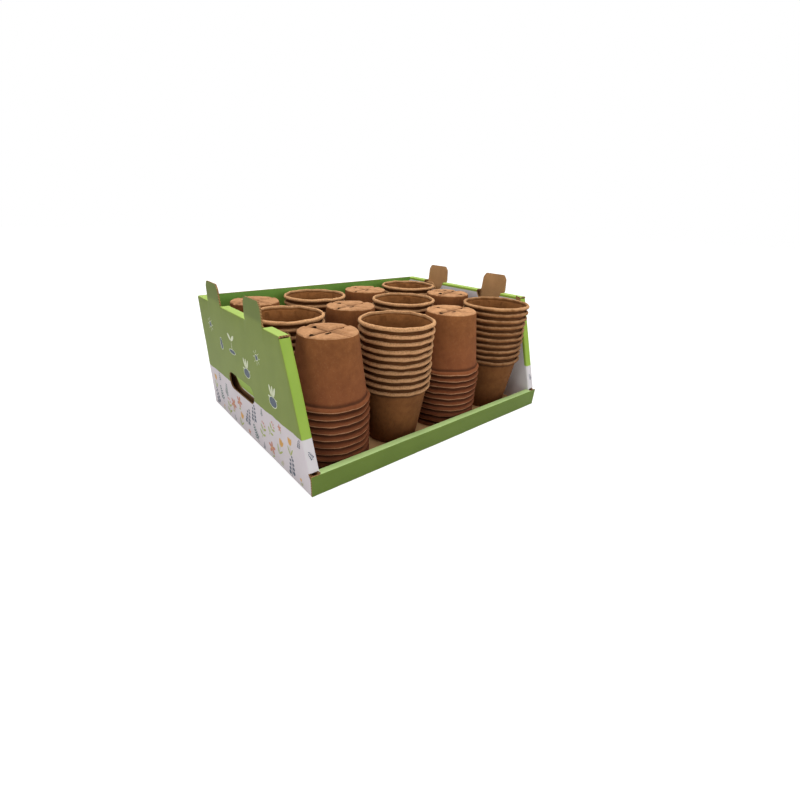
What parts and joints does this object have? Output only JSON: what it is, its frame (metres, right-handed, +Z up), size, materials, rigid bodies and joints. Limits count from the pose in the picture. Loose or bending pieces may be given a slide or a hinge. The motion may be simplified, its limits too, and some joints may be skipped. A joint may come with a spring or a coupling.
{
  "type": "tray of nursery pots",
  "caption": "Moulded-fibre plant pots nested in upright and inverted stacks in a folded cardboard display tray with a low front lip, hand holes and stacking tabs.",
  "frame": {"origin": "middle of the tray's footprint, on the surface that it stands on", "axes": "+X along the front lip to the right, +Y to the back panel, +Z up"},
  "size_m": [0.4, 0.29, 0.182],
  "materials": {
    "printed_board": "satin printed liner, green above and white below, kraft inside",
    "kraft_board": "bare kraft",
    "pot_fibre": "matt moulded fibre"
  },
  "bodies": {
    "tray": {"base_panel": "kraft_board", "back_panel": "printed_board", "left_outer_panel": "printed_board", "left_inner_panel": "printed_board", "left_front_edge_strip": "printed_board", "left_rear_corner_flap": "kraft_board", "left_front_corner_flap": "kraft_board", "left_front_top_strip": "printed_board", "left_middle_top_strip": "printed_board", "left_rear_top_strip": "printed_board", "right_outer_panel": "printed_board", "right_inner_panel": "printed_board", "right_front_edge_strip": "printed_board", "right_rear_corner_flap": "kraft_board", "right_front_corner_flap": "kraft_board", "right_front_top_strip": "printed_board", "right_middle_top_strip": "printed_board", "right_rear_top_strip": "printed_board", "lip_outer_panel": "printed_board", "lip_top_strip": "printed_board", "lip_inner_panel": "kraft_board"},
    "stack_front_1": {"nested_pots_front_1": "pot_fibre"},
    "pot_front_1": {"top_pot_front_1": "pot_fibre"},
    "stack_front_2": {"nested_pots_front_2": "pot_fibre"},
    "pot_front_2": {"top_pot_front_2": "pot_fibre"},
    "stack_front_3": {"nested_pots_front_3": "pot_fibre"},
    "pot_front_3": {"top_pot_front_3": "pot_fibre"},
    "stack_front_4": {"nested_pots_front_4": "pot_fibre"},
    "pot_front_4": {"top_pot_front_4": "pot_fibre"},
    "stack_middle_1": {"nested_pots_middle_1": "pot_fibre"},
    "pot_middle_1": {"top_pot_middle_1": "pot_fibre"},
    "stack_middle_2": {"nested_pots_middle_2": "pot_fibre"},
    "pot_middle_2": {"top_pot_middle_2": "pot_fibre"},
    "stack_middle_3": {"nested_pots_middle_3": "pot_fibre"},
    "pot_middle_3": {"top_pot_middle_3": "pot_fibre"},
    "stack_middle_4": {"nested_pots_middle_4": "pot_fibre"},
    "pot_middle_4": {"top_pot_middle_4": "pot_fibre"},
    "stack_back_1": {"nested_pots_back_1": "pot_fibre"},
    "pot_back_1": {"top_pot_back_1": "pot_fibre"},
    "stack_back_2": {"nested_pots_back_2": "pot_fibre"},
    "pot_back_2": {"top_pot_back_2": "pot_fibre"},
    "stack_back_3": {"nested_pots_back_3": "pot_fibre"},
    "pot_back_3": {"top_pot_back_3": "pot_fibre"},
    "stack_back_4": {"nested_pots_back_4": "pot_fibre"},
    "pot_back_4": {"top_pot_back_4": "pot_fibre"}
  },
  "joints": [
    {"name": "lift_stack_front_1", "type": "slide", "parent": "tray", "child": "stack_front_1", "axis": [0, 0, 1], "range_m": [0, 0.18]},
    {"name": "lift_pot_front_1", "type": "slide", "parent": "stack_front_1", "child": "pot_front_1", "axis": [0, 0, 1], "range_m": [0, 0.09]},
    {"name": "lift_stack_front_2", "type": "slide", "parent": "tray", "child": "stack_front_2", "axis": [0, 0, 1], "range_m": [0, 0.18]},
    {"name": "lift_pot_front_2", "type": "slide", "parent": "stack_front_2", "child": "pot_front_2", "axis": [0, 0, 1], "range_m": [0, 0.09]},
    {"name": "lift_stack_front_3", "type": "slide", "parent": "tray", "child": "stack_front_3", "axis": [0, 0, 1], "range_m": [0, 0.18]},
    {"name": "lift_pot_front_3", "type": "slide", "parent": "stack_front_3", "child": "pot_front_3", "axis": [0, 0, 1], "range_m": [0, 0.09]},
    {"name": "lift_stack_front_4", "type": "slide", "parent": "tray", "child": "stack_front_4", "axis": [0, 0, 1], "range_m": [0, 0.18]},
    {"name": "lift_pot_front_4", "type": "slide", "parent": "stack_front_4", "child": "pot_front_4", "axis": [0, 0, 1], "range_m": [0, 0.09]},
    {"name": "lift_stack_middle_1", "type": "slide", "parent": "tray", "child": "stack_middle_1", "axis": [0, 0, 1], "range_m": [0, 0.18]},
    {"name": "lift_pot_middle_1", "type": "slide", "parent": "stack_middle_1", "child": "pot_middle_1", "axis": [0, 0, 1], "range_m": [0, 0.09]},
    {"name": "lift_stack_middle_2", "type": "slide", "parent": "tray", "child": "stack_middle_2", "axis": [0, 0, 1], "range_m": [0, 0.18]},
    {"name": "lift_pot_middle_2", "type": "slide", "parent": "stack_middle_2", "child": "pot_middle_2", "axis": [0, 0, 1], "range_m": [0, 0.09]},
    {"name": "lift_stack_middle_3", "type": "slide", "parent": "tray", "child": "stack_middle_3", "axis": [0, 0, 1], "range_m": [0, 0.18]},
    {"name": "lift_pot_middle_3", "type": "slide", "parent": "stack_middle_3", "child": "pot_middle_3", "axis": [0, 0, 1], "range_m": [0, 0.09]},
    {"name": "lift_stack_middle_4", "type": "slide", "parent": "tray", "child": "stack_middle_4", "axis": [0, 0, 1], "range_m": [0, 0.18]},
    {"name": "lift_pot_middle_4", "type": "slide", "parent": "stack_middle_4", "child": "pot_middle_4", "axis": [0, 0, 1], "range_m": [0, 0.09]},
    {"name": "lift_stack_back_1", "type": "slide", "parent": "tray", "child": "stack_back_1", "axis": [0, 0, 1], "range_m": [0, 0.18]},
    {"name": "lift_pot_back_1", "type": "slide", "parent": "stack_back_1", "child": "pot_back_1", "axis": [0, 0, 1], "range_m": [0, 0.09]},
    {"name": "lift_stack_back_2", "type": "slide", "parent": "tray", "child": "stack_back_2", "axis": [0, 0, 1], "range_m": [0, 0.18]},
    {"name": "lift_pot_back_2", "type": "slide", "parent": "stack_back_2", "child": "pot_back_2", "axis": [0, 0, 1], "range_m": [0, 0.09]},
    {"name": "lift_stack_back_3", "type": "slide", "parent": "tray", "child": "stack_back_3", "axis": [0, 0, 1], "range_m": [0, 0.18]},
    {"name": "lift_pot_back_3", "type": "slide", "parent": "stack_back_3", "child": "pot_back_3", "axis": [0, 0, 1], "range_m": [0, 0.09]},
    {"name": "lift_stack_back_4", "type": "slide", "parent": "tray", "child": "stack_back_4", "axis": [0, 0, 1], "range_m": [0, 0.18]},
    {"name": "lift_pot_back_4", "type": "slide", "parent": "stack_back_4", "child": "pot_back_4", "axis": [0, 0, 1], "range_m": [0, 0.09]}
  ]
}
